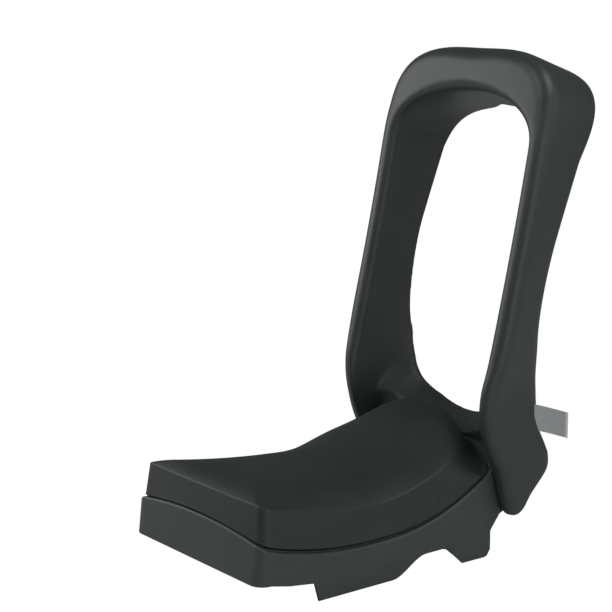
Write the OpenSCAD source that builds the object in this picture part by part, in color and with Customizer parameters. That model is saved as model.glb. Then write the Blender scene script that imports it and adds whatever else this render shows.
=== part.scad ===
// Rear child bike seat: a hollow moulded base that stands astride a luggage carrier,
// a dished foam cushion, and a one-piece back hoop whose two lobes clasp the base.
// Millimetres. X is across the bicycle, -Y is forward, +Z is up.
// The origin lies on the standing plane, in the plane of symmetry.

/* [Base shell] */
// Width of the base across its side walls
base_width = 190; // [182:1:200]
// From the origin forward to the lower front edge
base_front = 129; // [124:1:134]
// From the origin back to the rear wall
base_rear = 174; // [172:1:178]
// How far the front wall leans back between its foot and the rim
front_slant = 5; // [3:0.5:8]
// How much wider each side stands at the front corners than at the lobes
front_flare = 7; // [2:0.5:9]
// Plan radius of the two front corners
front_corner = 20; // [13:1:26]
// Plan radius of the two rear corners
rear_corner = 6; // [5:1:9]
// Thickness of the side, front and rear walls
wall = 3; // [2.5:0.1:3.6]
// Thickness of the deck below the cushion
deck = 3.5; // [3:0.1:4.5]
// Thickness of the stiffening ribs
rib = 2.4; // [1.8:0.1:3]
// Drop of the rim below the seam, which leaves the dark joint line
rim_drop = 1.6; // [1:0.1:2.4]
// Width of the rim outside the raised landing
rim_width = 5; // [4:0.5:8]

/* [Seam line] */
// Height of the seam at its lowest point
seam_low = 41.5; // [40:0.5:46]
// Place of the lowest point of the seam
seam_low_y = 2; // [-8:1:12]
// Rise of the seam to its front end
seam_front_rise = 20; // [14:1:24]
// Rise of the seam to its rear end
seam_rear_rise = 62; // [52:1:66]
// Rise of the front rim's middle above its corners
crown_rise = 8; // [5:0.5:9]

/* [Skirt] */
// Height of the front skirt above the standing plane
front_clear = 17.5; // [16.5:0.5:22]
// Extra height of the front skirt at its foremost edge
front_lift = 9; // [2:0.5:10]
// Front end of the side skirts that hang beside the carrier
skirt_front = -60; // [-66:1:-54]
// Rear end of those side skirts
skirt_rear = 27; // [20:1:34]
// Height of the arch between side skirt and lug
arch_height = 17; // [16:0.5:20]
// Front end of the standing part of the rear lugs
lug_front = 111; // [109:1:114]
// Rear end of the standing part of the rear lugs
lug_rear = 138.5; // [137:0.5:142]
// Height of the lower edge behind the lugs
rear_clear = 40; // [36:1:44]

/* [Cushion] */
// Gap between cushion and base at the seam
seam_gap = 0.3; // [0.3:0.1:0.8]
// How far the cushion's lower edge stands inside the base walls
cushion_inset = 2; // [1:0.5:4]
// How far the side band of the cushion leans in up to the crease
band_lean = 4; // [3:0.5:7]
// Plan radius of the cushion's front corners at the crease
crease_corner = 9; // [7:1:14]
// Height of the crease at its lowest point
crease_low = 74; // [71:0.5:78]
// Rise of the crease to the front edge
crease_front_rise = 21; // [14:1:24]
// Rise of the crease to the rear end
crease_rear_rise = 35; // [30:1:40]
// Height of the cushion's middle line at its lowest point
spine_low = 96; // [90:0.5:102]
// Rise of the middle line to the front
spine_front_rise = 6; // [2:0.5:10]
// Rise of the middle line to the rear
spine_rear_rise = 38; // [32:1:42]

/* [Back hoop] */
// Outer width of the hoop across its front ridges
hoop_width = 238; // [230:1:246]
// Width of the front face of each leg
leg_width = 22; // [19:0.5:25]
// Height of the top of the hoop
hoop_top = 485; // [465:1:500]
// Height of the front face of the top bar at its middle
bar_height = 44; // [38:1:48]
// Height at which the legs start to turn into the top bar
turn_height = 391; // [378:1:398]
// Depth of the legs where they start to turn
turn_depth = 68; // [60:1:74]
// Depth of the top bar
bar_depth = 63; // [54:1:68]
// Backward lean of the legs in degrees
lean = 11.5; // [8:0.5:14]
// Depth of the web behind the base at its upper edge
web_depth = 37; // [33:0.5:40]
// Height of the web's upper edge at its middle
web_top = 113; // [111:1:118]

/* [Label tag] */
// Height of the woven tag
tag_height = 25; // [18:1:28]
// Length of the tag outside the hoop
tag_length = 25; // [20:1:30]
// Thickness of the folded tag
tag_thick = 1; // [0.8:0.1:1.4]

/* [Carrier clamp] */
// Height of the plane that lands on the carrier
carrier_plane = 15.5; // [15:0.5:16]
// Thickness of the rubber landing pads
pad_thick = 3.5; // [2.5:0.5:4]
// Width of each landing pad
pad_width = 20; // [16:1:24]
// Length of each landing pad
pad_length = 40; // [32:1:42]
// Distance of the landing pads from the middle
pad_x = 58; // [54:1:62]
// Length of the clamp bars
bar_length = 140; // [132:1:150]
// Width of the clamp bars
bar_width = 22; // [20:1:26]
// Depth of the clamp bars' channel section
bar_channel = 5.5; // [5:0.5:7]
// Sheet thickness of the clamp bars
bar_sheet = 2; // [1.6:0.1:2.2]
// Distance of the clamp bolts from the middle
bolt_x = 34; // [31:1:36]
// Place of the front clamp bar
front_bar_y = -15; // [-20:1:-8]
// Place of the rear clamp bar
rear_bar_y = 132; // [130:1:133]
// Open gap between landing pads and clamp bars
rail_gap = 6.5; // [5:0.5:7]

/* [Fasteners] */
// Thread diameter of the clamp bolts
bolt_d = 6; // [5:1:6]
// Thread diameter of the hoop screws
screw_d = 5; // [4:1:5]
// Radial clearance of the bolt and screw holes
hole_clear = 0.25; // [0.2:0.05:0.5]
// Diameter of the cushion stud shanks
stud_d = 6; // [5:0.5:7]

/* [Hidden] */
BOLTS = [for (i = [1:4]) str("clamp_bolt_", i)];
WASHERS = [for (i = [1:4]) str("clamp_washer_", i)];
NUTS = [for (i = [1:4]) str("clamp_nut_", i)];
PADS = [for (i = [1:4]) str("carrier_pad_", i)];
SCREWS = [for (i = [1:6]) str("hoop_screw_", i)];
INSERTS = [for (i = [1:6]) str("hoop_insert_", i)];
STUDS = [for (i = [1:6]) str("cushion_stud_", i)];

base_half = base_width / 2;
seam_front_y = front_slant - base_front;
SEAM_STEPS = 30;
SEAM_POWER = [2, 2.5];
far = 400;

function mix(a, b, t) = a + (b - a) * t;
function ease(t) = t * t * (3 - 2 * t);
function clamp01(t) = min(1, max(0, t));

// Height of the seam between cushion and base, and its slope, along Y
function seam_z(y) = y < seam_low_y
    ? seam_low + seam_front_rise * pow((seam_low_y - y) / (seam_low_y - seam_front_y), SEAM_POWER[0])
    : seam_low + seam_rear_rise * pow((y - seam_low_y) / (base_rear - seam_low_y), SEAM_POWER[1]);
function seam_slope(y) = (seam_z(y + 0.5) - seam_z(y - 0.5));
function seam_line(drop, front, rear) = [
    for (i = [0:SEAM_STEPS]) let (y = mix(front, rear, i / SEAM_STEPS)) [y, seam_z(y) - drop]
];

// Base shell

arch_run = 41;
tooth_run = 5;
FLARE_END = 120;
CROWN_AHEAD = 8;
CROWN_RUN = 38;
ARCH_STEPS = 8;
// Heel of the lug, counted from the end of its foot: run and height, from the top down
HEEL = [[12, 23], [9, 6], [4, 1]];
HEEL_END = 24;
HEEL_SINK = 2;
REAR_RISE = 3;
// Front of the lug up to the arch, counted from its foot
LUG_RUN = [16, 21];
ARCH_SINK = 1.5;
// Lower edge of the front skirt: shares of its length and of its lift
FRONT_LINE = [[0.45, 0.42], [0.76, 0.9]];

// Lower edge of the skirt from the rear wall to the front, seen from the side
function skirt_line() = concat(
    [[base_rear, rear_clear + REAR_RISE], [lug_rear + HEEL_END, rear_clear - HEEL_SINK]],
    [for (p = HEEL) [lug_rear + p[0], p[1]]],
    [
        [lug_rear, 0],
        [lug_front, 0],
        [lug_front - LUG_RUN[0], arch_height - ARCH_SINK],
        [lug_front - LUG_RUN[1], arch_height]
    ],
    [
        for (i = [0:ARCH_STEPS]) let (t = 1 - i / ARCH_STEPS)
            [skirt_rear + arch_run * t, arch_height * ease(t)]
    ],
    [[skirt_front, 0], [skirt_front - tooth_run, front_clear]],
    [
        for (p = FRONT_LINE)
            [mix(skirt_front - tooth_run, -base_front, p[0]), front_clear + front_lift * p[1]]
    ],
    [[-base_front, front_clear + front_lift]]
);

// Plan outline of the base, pulled in by a wall thickness
module base_plan(inset) {
    half = base_half - inset;
    front = base_front - inset;
    rear = base_rear - inset;
    front_r = front_corner - inset;
    rear_r = max(rear_corner - inset, 0.5);
    hull() {
        for (side = [-1, 1]) {
            translate([side * (half + front_flare - front_r), front_r - front])
                circle(r = front_r, $fn = 64);
            for (y = [FLARE_END, rear - rear_r])
                translate([side * (half - rear_r), y]) circle(r = rear_r, $fn = 32);
        }
    }
}

// Crowned front rim: a shallow lens that rises along the seam towards the middle
module crown(drop) {
    chord = base_half + front_flare;
    radius = (chord * chord + crown_rise * crown_rise) / (2 * crown_rise);
    translate([0, seam_front_y, seam_z(seam_front_y) - drop])
        rotate([-90 + atan(seam_slope(seam_front_y)), 0, 0])
            translate([0, 0, -CROWN_AHEAD])
                linear_extrude(CROWN_AHEAD + CROWN_RUN) intersection() {
                    translate([0, radius - crown_rise]) circle(r = radius, $fn = 240);
                    translate([-chord, -crown_rise - 1]) square([2 * chord, crown_rise + 3]);
                }
}

module across(width) {
    rotate([90, 0, 90]) linear_extrude(width, center = true) children();
}

// Keeps what lies behind the leaning front wall
module behind_front(inset) {
    lean_run = (seam_front_y + base_front) / (seam_z(seam_front_y) - front_clear - front_lift);
    top = seam_low + seam_rear_rise + 10;
    top_y = (top - front_clear - front_lift) * lean_run - base_front;
    across(base_width + 20) translate([inset, 0]) polygon([
        [-base_front, -2], [-base_front, front_clear + front_lift], [top_y, top],
        [base_rear + 1, top], [base_rear + 1, -2]
    ]);
}

module base_block() {
    intersection() {
        linear_extrude(far) base_plan(0);
        union() {
            across(base_width + 20)
                polygon(concat(seam_line(rim_drop, seam_front_y - 2, base_rear), skirt_line()));
            crown(rim_drop);
        }
        behind_front(0);
    }
}

// Raised landing inside the rim, which carries the cushion
module landing() {
    intersection() {
        linear_extrude(far) base_plan(rim_width);
        union() {
            across(base_width + 20)
                polygon(concat(
                    seam_line(seam_gap, seam_front_y, base_rear - rim_width),
                    seam_line(rim_drop + deck / 2, base_rear - rim_width, seam_front_y)
                ));
            crown(seam_gap);
        }
        behind_front(rim_width);
    }
}

module cavity() {
    drop = rim_drop + deck;
    intersection() {
        translate([0, 0, -1]) linear_extrude(far) base_plan(wall);
        across(base_width + 20)
            polygon(concat(
                seam_line(drop, seam_front_y, base_rear - wall),
                [[base_rear - wall, -1], [-base_front, -1]]
            ));
        behind_front(wall);
    }
}

rib_foot = carrier_plane + pad_thick;
rib_gap = pad_width * 0.3;
BAR_BAY = 25;
REAR_BAY = [31, 22];
RIB_STEP = 40;
MIDDLE_RIB_Y = 55;
CROSS_RIBS = [
    front_bar_y - BAR_BAY - RIB_STEP, front_bar_y - BAR_BAY, front_bar_y + BAR_BAY, MIDDLE_RIB_Y,
    rear_bar_y - REAR_BAY[0], rear_bar_y + REAR_BAY[1]
];
well_r = 11;
well_wall = 2.6;
well_floor = rib_foot + 2.5;

module ribs() {
    for (side = [-1, 1], edge = [-1, 1])
        translate([side * pad_x + edge * rib_gap - rib / 2, -base_front, rib_foot])
            cube([rib, base_front + base_rear, far]);
    for (y = CROSS_RIBS)
        translate([-base_half, y - rib / 2, rib_foot]) cube([base_width, rib, far]);
}

BAR_Y = [front_bar_y, rear_bar_y];
BOLT_AT = [for (y = BAR_Y, side = [-1, 1]) [side * bolt_x, y]];
PAD_AT = [for (y = BAR_Y, side = [-1, 1]) [side * pad_x, y]];

module at(p, z) {
    translate([p[0], p[1], z]) children();
}

STUD_AT = [for (p = [[72, -67], [72, 22], [73, 112]], side = [-1, 1]) [side * p[0], p[1]]];

// Places children on the seam surface, square to it
module on_seam(p) {
    translate([p[0], p[1], seam_z(p[1]) - seam_gap]) rotate([atan(seam_slope(p[1])), 0, 0]) children();
}

// Screws that hold the hoop: place of the head seat and direction out of the base
SIDE_SCREWS = [[base_rear - 13, 78], [base_rear - 11, 60]];
WEB_SCREW = [44, 76];
SCREW_AT = concat(
    [for (side = [-1, 1], p = SIDE_SCREWS) [side * (base_half - wall), p[0], p[1], side * 90]],
    [for (side = [-1, 1]) [side * WEB_SCREW[0], base_rear - wall, WEB_SCREW[1], 0]]
);

// Places children with +Z pointing out of the base wall at a hoop screw
module at_screw(s) {
    translate([s[0], s[1], s[2]]) rotate(s[3] == 0 ? [-90, 0, 0] : [0, s[3], 0]) children();
}

module base_shell() {
    color("#3a3e3f") difference() {
        union() {
            base_block();
            landing();
        }
        difference() {
            cavity();
            ribs();
            for (p = BOLT_AT)
                at(p, rib_foot) cylinder(r = well_r + well_wall, h = far, $fn = 48);
        }
        for (p = BOLT_AT) {
            at(p, well_floor) cylinder(r = well_r, h = far, $fn = 48);
            at(p, -1) cylinder(r = bolt_d / 2 + hole_clear, h = far, $fn = 32);
        }
        for (p = STUD_AT)
            on_seam(p) {
                cylinder(r = stud_flange_r + stud_clear, h = stud_flange, $fn = 48);
                translate([0, 0, -stud_tip - 8])
                    cylinder(r = stud_d / 2 + hole_clear, h = stud_tip + 10, $fn = 32);
            }
        for (s = SCREW_AT)
            at_screw(s) translate([0, 0, -10])
                cylinder(r = screw_d / 2 + hole_clear, h = 20, $fn = 32);
    }
}

// Lofts: rings of points stacked along a path, closed at both ends

function ring_faces(rings, n) = [
    for (j = [0:rings - 2], i = [0:n - 1])
        let (a = j * n + i, b = j * n + (i + 1) % n)
        for (f = [[a, a + n, b], [b, a + n, b + n]]) f
];
// Closes a ring that is symmetric about X = 0 with strips between mirrored points
function zip_faces(base, n, up) = [
    for (i = [0:n / 2 - 1])
        let (a = base + i, b = base + i + 1, c = base + (n - i - 1) % n, d = base + (n - i) % n)
        for (f = up ? [[a, c, b], [a, d, c]] : [[a, b, c], [a, c, d]])
        if (f[0] != f[1] && f[1] != f[2] && f[0] != f[2]) f
];
function fan_faces(base, n, up) = [
    for (i = [1:n - 2]) up ? [base, base + i + 1, base + i] : [base, base + i, base + i + 1]
];

// Cushion

FRONT_STEPS = 4;
CORNER_STEPS = 5;
SIDE_STEPS = 9;
REAR_STEPS = 11;
SEAM_TURN = 42;
CREASE_TURN = 74;
REAR_POWER = 2.2;
FRONT_BOW = 1.5;
cushion_rear_gap = 4;

// Right half of a plan outline of the cushion, from the front middle to the rear middle
function half_outline(half, front, corner, rear, turn) = concat(
    [
        for (i = [0:FRONT_STEPS - 1]) let (t = i / FRONT_STEPS)
            [(half - corner) * t, front - FRONT_BOW * (1 - t * t)]
    ],
    [
        for (i = [0:CORNER_STEPS - 1]) let (a = -90 + 90 * i / CORNER_STEPS)
            [half - corner + corner * cos(a), front + corner + corner * sin(a)]
    ],
    [
        for (i = [0:SIDE_STEPS - 1])
            [half, mix(front + corner, rear - turn, i / SIDE_STEPS)]
    ],
    [
        for (i = [0:REAR_STEPS]) let (a = 90 * i / REAR_STEPS)
            [
                half * pow(max(0, cos(a)), 2 / REAR_POWER),
                rear - turn + turn * pow(sin(a), 2 / REAR_POWER)
            ]
    ]
);
function full_ring(h) = concat(h, [for (i = [len(h) - 2:-1:1]) [-h[i][0], h[i][1]]]);
// Widens an outline towards the front as the base does
function flared(h) = [
    for (p = h)
        [p[0] * (1 + front_flare / base_half * clamp01((FLARE_END - p[1]) / (FLARE_END + base_front))), p[1]]
];

seam_half = base_half - cushion_inset;
seam_edge_front = seam_front_y + cushion_inset;
seam_edge_rear = base_rear - cushion_rear_gap;
crease_half = seam_half - band_lean;
crease_front = seam_edge_front + band_lean;
crease_rear = seam_edge_rear - band_lean / 2;

DIP_Y = 4;
CREASE_RUN = 150;
CREASE_POWER = [1.5, 1.2];
SPINE_Y = 10;
SPINE_AHEAD = 90;
SPINE_RUN = 140;
SPINE_POWER = [1.5, 1.3];

// Height of the crease along Y
function crease_z(y) = y < DIP_Y
    ? crease_low + crease_front_rise * pow((DIP_Y - y) / (DIP_Y - crease_front), CREASE_POWER[0])
    : crease_low + crease_rear_rise * pow(ease(clamp01((y - DIP_Y) / CREASE_RUN)), CREASE_POWER[1]);
// Height of the middle line of the top along Y
function spine_z(y) = y < SPINE_Y
    ? spine_low + spine_front_rise * pow((SPINE_Y - y) / SPINE_AHEAD, SPINE_POWER[0])
    : spine_low + spine_rear_rise * pow(ease(clamp01((y - SPINE_Y) / SPINE_RUN)), SPINE_POWER[1]);

function band_ring(t, lift) = [
    for (p = full_ring(flared(half_outline(
        mix(seam_half, crease_half, t), mix(seam_edge_front, crease_front, t),
        mix(front_corner - cushion_inset, crease_corner, t), mix(seam_edge_rear, crease_rear, t),
        mix(SEAM_TURN, CREASE_TURN, t)))))
        [p[0], p[1], mix(seam_z(p[1]), crease_z(p[1]), t) + lift]
];
SPINE = [-80, 118];
DISH_POWER = [3.5, 1.8];
DISH_RUN = 85;
UNDER_SHARE = 0.985;
TOP_SHARES = [0.985, 0.95, 0.88, 0.78, 0.64, 0.46, 0.26, 0.08];
// Ring of the top, shrunk towards the spine: r is 1 at the crease
function top_ring(r) = [
    for (p = full_ring(flared(
        half_outline(crease_half, crease_front, crease_corner, crease_rear, CREASE_TURN))))
        let (y = mix(min(SPINE[1], max(SPINE[0], p[1])), p[1], r))
        let (power = mix(DISH_POWER[0], DISH_POWER[1], clamp01(y / DISH_RUN)))
        [p[0] * r, y, mix(spine_z(y), crease_z(y), pow(r, power))]
];

module cushion_form() {
    rings = concat(
        [
            [for (p = band_ring(0, 0)) [p[0] * UNDER_SHARE, p[1], seam_z(p[1])]],
            band_ring(0.03, 0.6), band_ring(0.5, 0), band_ring(0.93, 0)
        ],
        [for (r = TOP_SHARES) top_ring(r)]
    );
    n = len(rings[0]);
    polyhedron(
        points = [for (r = rings) for (p = r) p],
        faces = concat(
            zip_faces(0, n, false),
            ring_faces(len(rings), n),
            zip_faces((len(rings) - 1) * n, n, true)
        ),
        convexity = 6
    );
}

stud_flange_r = 7;
stud_flange = 2;
stud_tip = 9;
stud_clear = 0.3;

module cushion() {
    color("#2c2f30") difference() {
        cushion_form();
        crown(0);
        for (p = STUD_AT)
            on_seam(p) translate([0, 0, -3])
                cylinder(r = stud_flange_r + stud_clear, h = stud_flange + 3 + stud_clear, $fn = 48);
    }
}

module cushion_stud(p) {
    color("#1d1f20") on_seam(p) {
        cylinder(r = stud_flange_r, h = stud_flange, $fn = 48);
        translate([0, 0, -stud_tip]) cylinder(d = stud_d, h = stud_tip, $fn = 32);
        translate([0, 0, -stud_tip]) cylinder(d1 = stud_d * 0.6, d2 = stud_d + 1.4, h = 3.2, $fn = 32);
    }
}

// Back hoop

hoop_half = hoop_width / 2;
OUTER_POWER = 3;
INNER_POWER = 2.1;
TURN_STEPS = 12;
TURN_SWELL = 13;
TURN_TILT = 15;
TOP_TILT = 20;
lobe_clear = 0.4;

// Leg stations from the lobe's tip upward: height, front edge from the rear wall of the base,
// depth, inset of the outer face, inward cant of the rear edge, tilt of the depth
LEG = [
    [36.5, -5, 7, 13, 0, 0],
    [38, -8.5, 13, 10.5, 0, 0],
    [43.5, -11.5, 21.5, 8.5, 0, 0],
    [55, -15, 32.5, 7.5, 0, 0],
    [66, -18, 46.5, 7, 0, 0],
    [77, -23, 61, 6.5, 0, 0],
    [86, -26.5, 67.5, 6.5, 0, 0],
    [98, -32.5, 71.5, 8, -1.5, 0],
    [110, -37.5, 71, 9, -2, 0],
    [120, -41, 68, 9.5, -1, 0],
    [135, -43.5, 66, 9, 2.5, 0],
    [150, -43, 65, 7.5, 6.5, 0],
    [166, -39, 60, 5.5, 9, 0],
    [186, -32.5, 54.5, 2, 11.5, 0],
    [216, -25.5, 50, 0, 12, 1],
    [252, -18, 50, 0, 12, 3],
    [296, -9, 53, 0, 12, 6.5],
    [342, 0, 60.5, 0, 12, 10.5]
];
LEG_TOP = LEG[len(LEG) - 1];
lobe_inner = base_half + lobe_clear;
INNER_LEAD = 1.5;
NECK_Z = 125;
NECK_RUN = 60;
SKEW = 13;
SKEW_Z = 98;
SKEW_RUN = 55;
SKEW_LOSS = 0.72;
FADE_Z = 190;
FADE_RUN = 120;
TOE = 9;
TOE_RUN = 30;
TOE_END = 205;
TOE_FADE = 50;

// Front face of the upper hoop leans back from the last leg station
function lean_y(z) = base_rear + LEG_TOP[1] + (z - LEG_TOP[0]) * tan(lean);
// The inner face of a leg starts flush with the base and ends at the leg's own width
function leg_inner(z) = mix(lobe_inner, hoop_half - leg_width, ease(clamp01((z - NECK_Z) / NECK_RUN)));
// How much deeper the inner face of a leg is than its outer face
function leg_skew(z) =
    SKEW * ease(clamp01((z - SKEW_Z) / SKEW_RUN))
    * (1 - SKEW_LOSS * ease(clamp01((z - FADE_Z) / FADE_RUN)));
// How far the inner rear edge of a leg turns in towards the web
function leg_toe(z) =
    TOE * ease(clamp01((z - SKEW_Z) / TOE_RUN)) * ease(clamp01((TOE_END - z) / TOE_FADE));

// Corner points of one section: front outer, rear outer, rear inner, front inner
function section(fo, fi, depth, tilt, cant, skew, toe) =
    let (back = [0, cos(tilt), -sin(tilt)], side = [1, 0, 0])
    [fo, fo + back * depth - side * cant, fi + back * (depth + skew) - side * (cant * 0.5 + toe), fi];
function leg_section(row) = section(
    [hoop_half - row[3], base_rear + row[1], row[0]],
    [leg_inner(row[0]), base_rear + row[1] - INNER_LEAD, row[0]],
    row[2], row[5], row[4], leg_skew(row[0]), leg_toe(row[0])
);

// Point of a superellipse in the direction of an angle
function polar(a, wide, high, power) =
    let (r = pow(pow(cos(a) / wide, power) + pow(sin(a) / high, power), -1 / power))
    [r * cos(a), r * sin(a)];
function turn_section(angle) =
    let (
        a = min(angle, 89.999),
        t = a / 90,
        outer = polar(a, hoop_half, hoop_top - turn_height, OUTER_POWER),
        inner = polar(a, hoop_half - leg_width, hoop_top - bar_height - turn_height, INNER_POWER),
        fo_z = turn_height + outer[1],
        fi_z = turn_height + inner[1]
    )
    section(
        [outer[0], lean_y(fo_z), fo_z], [inner[0], lean_y(fi_z) - INNER_LEAD, fi_z],
        mix(turn_depth, bar_depth, t * t) + TURN_SWELL * sin(2 * a), mix(TURN_TILT, TOP_TILT, ease(t)),
        LEG_TOP[4] * (1 - ease(t)), leg_skew(turn_height) * (1 - t), 0
    );

// Rounds a section's corners with short quadratic curves
ARC_STEPS = 3;
function curve(a, c, b, s) = (1 - s) * (1 - s) * a + 2 * s * (1 - s) * c + s * s * b;
function toward(c, p, r) = c + (p - c) * min(r / norm(p - c), 0.46);
function rounded(q, radii) = [
    for (k = [0:len(q) - 1])
        let (c = q[k], a = toward(c, q[(k + len(q) - 1) % len(q)], radii[k]),
            b = toward(c, q[(k + 1) % len(q)], radii[k]))
        for (i = [0:ARC_STEPS]) curve(a, c, b, i / ARC_STEPS)
];
TURN_RADII = [9, 8, 7, 8];
LOBE_RADII = [9, 8, 3, 3];
TOP_ROUND = 1.5;
ROUND_Z = 115;
ROUND_RUN = 40;
function leg_radii(z) = mix(LOBE_RADII, TURN_RADII, ease(clamp01((z - ROUND_Z) / ROUND_RUN)));

right_stations = concat(
    [for (row = LEG) rounded(leg_section(row), leg_radii(row[0]))],
    [
        for (i = [0:TURN_STEPS]) let (t = i / TURN_STEPS)
            rounded(turn_section(90 * t), TURN_RADII * mix(1, TOP_ROUND, t))
    ]
);
function flip(ring) = [for (p = ring) [-p[0], p[1], p[2]]];

module loop_form() {
    count = len(right_stations);
    rings = concat(right_stations, [for (i = [count - 2:-1:0]) flip(right_stations[i])]);
    n = len(rings[0]);
    polyhedron(
        points = [for (r = rings) for (p = r) p],
        faces = concat(
            fan_faces(0, n, false),
            ring_faces(len(rings), n),
            fan_faces((len(rings) - 1) * n, n, true)
        ),
        convexity = 8
    );
}

// Web between the legs behind the cushion: its upper edge runs on into the legs' rear edges
WEB_STEPS = 28;
web_foot = 52;
web_gap = 0.4;
web_reach = 101;
WEB_SPAN = 92;
WEB_RISE = 34;
WEB_FLICK = 22;
WEB_LIMIT = 152;
SHELF_SLOPE = 0.3;
SHELF_LEAD = 27;
SHELF_SINK = 5;
SHELF_END = [0.6, 5];
REAR_TUCK = 15;
LIP_STEP = 1.5;
FOOT_SHARE = 0.45;
EDGE_SLOPE = [3, 12];
WEB_RADII = [2, 8, 9, 5, 3, 2];
WEB_SPREAD = 0.4;
function web_blend(x) = pow(abs(x) / web_reach, 4);
function web_edge(x) =
    let (t = min(1, abs(x) / WEB_SPAN))
    min(WEB_LIMIT, web_top + WEB_RISE * t * t + WEB_FLICK * pow(t, 10));
// Section of the web: a shelf that rises backward to the free upper edge
function web_ring(x) =
    let (
        front = base_rear + web_gap,
        rear = front + web_depth - REAR_TUCK * pow(abs(x) / web_reach, 6),
        top = web_edge(x),
        lip = front + LIP_STEP - SHELF_LEAD * web_blend(x),
        shelf = mix(top - (rear - lip) * SHELF_SLOPE, web_top - SHELF_SINK, web_blend(x))
    )
    rounded([
        [x, front, web_foot],
        [x, mix(front, rear, FOOT_SHARE), web_foot],
        [x, rear, top - EDGE_SLOPE[1]],
        [x, rear - EDGE_SLOPE[0], top],
        [x, lip, shelf],
        [x, mix(front, lip, SHELF_END[0]), shelf - SHELF_END[1]]
    ], WEB_RADII);

module web_form() {
    rings = [
        for (i = [0:WEB_STEPS]) let (a = mix(-90, 90, i / WEB_STEPS))
            web_ring(web_reach * mix(sin(a), a / 90, WEB_SPREAD))
    ];
    n = len(rings[0]);
    polyhedron(
        points = [for (r = rings) for (p = r) p],
        faces = concat(
            fan_faces(0, n, false),
            ring_faces(len(rings), n),
            fan_faces((len(rings) - 1) * n, n, true)
        ),
        convexity = 6
    );
}

insert_r = 4;
insert_length = 10;
tag_root = 5;
TAG_Z = 118;
TAG_X = 108;
TAG_Y = base_rear + 24.5;
TAG_TURN = 23;
TAG_DROOP = 9;

module at_tag() {
    translate([TAG_X, TAG_Y, TAG_Z]) rotate([-TAG_DROOP, 0, -TAG_TURN]) children();
}

module back_hoop() {
    color("#35393b") difference() {
        union() {
            loop_form();
            web_form();
        }
        for (s = SCREW_AT)
            at_screw(s) translate([0, 0, wall]) {
                cylinder(r = insert_r, h = insert_length + lobe_clear, $fn = 40);
                cylinder(r = screw_d / 2 + hole_clear, h = insert_length + 4, $fn = 32);
            }
        at_tag() translate([-tag_thick / 2, -tag_root, 0]) cube([tag_thick, tag_root + 4, tag_height]);
    }
}

module label_tag() {
    bend = 60;
    color("#b4b8b7") at_tag() {
        translate([-tag_thick / 2, -tag_root, 0]) cube([tag_thick, tag_root, tag_height]);
        linear_extrude(tag_height) difference() {
            intersection() {
                translate([bend, 0]) circle(r = bend + tag_thick / 2, $fn = 180);
                translate([-tag_thick, 0]) square([tag_length, tag_length]);
            }
            translate([bend, 0]) circle(r = bend - tag_thick / 2, $fn = 180);
        }
    }
}

// Fasteners

module hoop_insert(s) {
    color("#b08d4a") at_screw(s) translate([0, 0, wall + lobe_clear]) difference() {
        cylinder(r = insert_r, h = insert_length, $fn = 40);
        translate([0, 0, -1]) cylinder(d = screw_d, h = insert_length + 2, $fn = 32);
    }
}

module hoop_screw(s) {
    head_r = screw_d * 0.95;
    color("#8f9496") at_screw(s) {
        translate([0, 0, -screw_d * 0.6]) cylinder(r = head_r, h = screw_d * 0.6, $fn = 40);
        cylinder(d = screw_d, h = wall + insert_length + 1, $fn = 32);
    }
}

bar_top = carrier_plane - rail_gap;
head_h = 3.2;
head_r = 6.5;
washer_h = 1.6;
nut_h = 6;
nut_across = 10;
bolt_top = seam_low - 2;

module clamp_bar(y) {
    color("#5c6062") translate([0, y, bar_top - bar_channel]) difference() {
        translate([-bar_length / 2, -bar_width / 2, 0]) cube([bar_length, bar_width, bar_channel]);
        translate([-bar_length / 2 - 1, bar_sheet - bar_width / 2, -1])
            cube([bar_length + 2, bar_width - 2 * bar_sheet, bar_channel - bar_sheet + 1]);
        for (side = [-1, 1])
            translate([side * bolt_x, 0, -1])
                cylinder(r = bolt_d / 2 + hole_clear, h = bar_channel + 2, $fn = 32);
    }
}

module clamp_bolt(p) {
    seat = bar_top - bar_sheet;
    color("#9ba0a2") at(p, 0) {
        translate([0, 0, seat]) cylinder(d = bolt_d, h = bolt_top - seat, $fn = 32);
        translate([0, 0, seat - head_h]) cylinder(r1 = head_r * 0.6, r2 = head_r, h = head_h, $fn = 48);
    }
}

module clamp_washer(p) {
    color("#a7abac") at(p, well_floor) difference() {
        cylinder(r = well_r - 2, h = washer_h, $fn = 48);
        translate([0, 0, -1]) cylinder(r = bolt_d / 2 + hole_clear, h = washer_h + 2, $fn = 32);
    }
}

module clamp_nut(p) {
    color("#8d9294") at(p, well_floor + washer_h) difference() {
        cylinder(d = nut_across / cos(30), h = nut_h, $fn = 6);
        translate([0, 0, -1]) cylinder(d = bolt_d, h = nut_h + 2, $fn = 32);
    }
}

module carrier_pad(p) {
    color("#191a1a") at(p, carrier_plane)
        translate([-pad_width / 2, -pad_length / 2, 0]) cube([pad_width, pad_length, pad_thick]);
}

base_shell();
cushion();
back_hoop();
label_tag();
clamp_bar(front_bar_y);  // clamp_bar_front
clamp_bar(rear_bar_y);  // clamp_bar_rear
for (i = [0:3]) {
    clamp_bolt(BOLT_AT[i]);
    clamp_washer(BOLT_AT[i]);
    clamp_nut(BOLT_AT[i]);
    carrier_pad(PAD_AT[i]);
}
for (i = [0:5]) {
    hoop_screw(SCREW_AT[i]);
    hoop_insert(SCREW_AT[i]);
    cushion_stud(STUD_AT[i]);
}
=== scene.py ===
"""Rear child bike seat: moulded base, foam cushion, one-piece foam hoop, tag and fixings.

Sizes in the classes are millimetres in the part's own frame; meshes are made in metres.
"""
import logging
from collections.abc import Callable, Sequence
from dataclasses import dataclass
from enum import Enum
from math import copysign, cos, pi, radians, sin, sqrt, tan

import bmesh
import bpy
from bmesh.types import BMEdge, BMesh, BMVert
from bpy.types import Material, Node, NodeSocket, Object
from mathutils import Matrix, Vector


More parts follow.
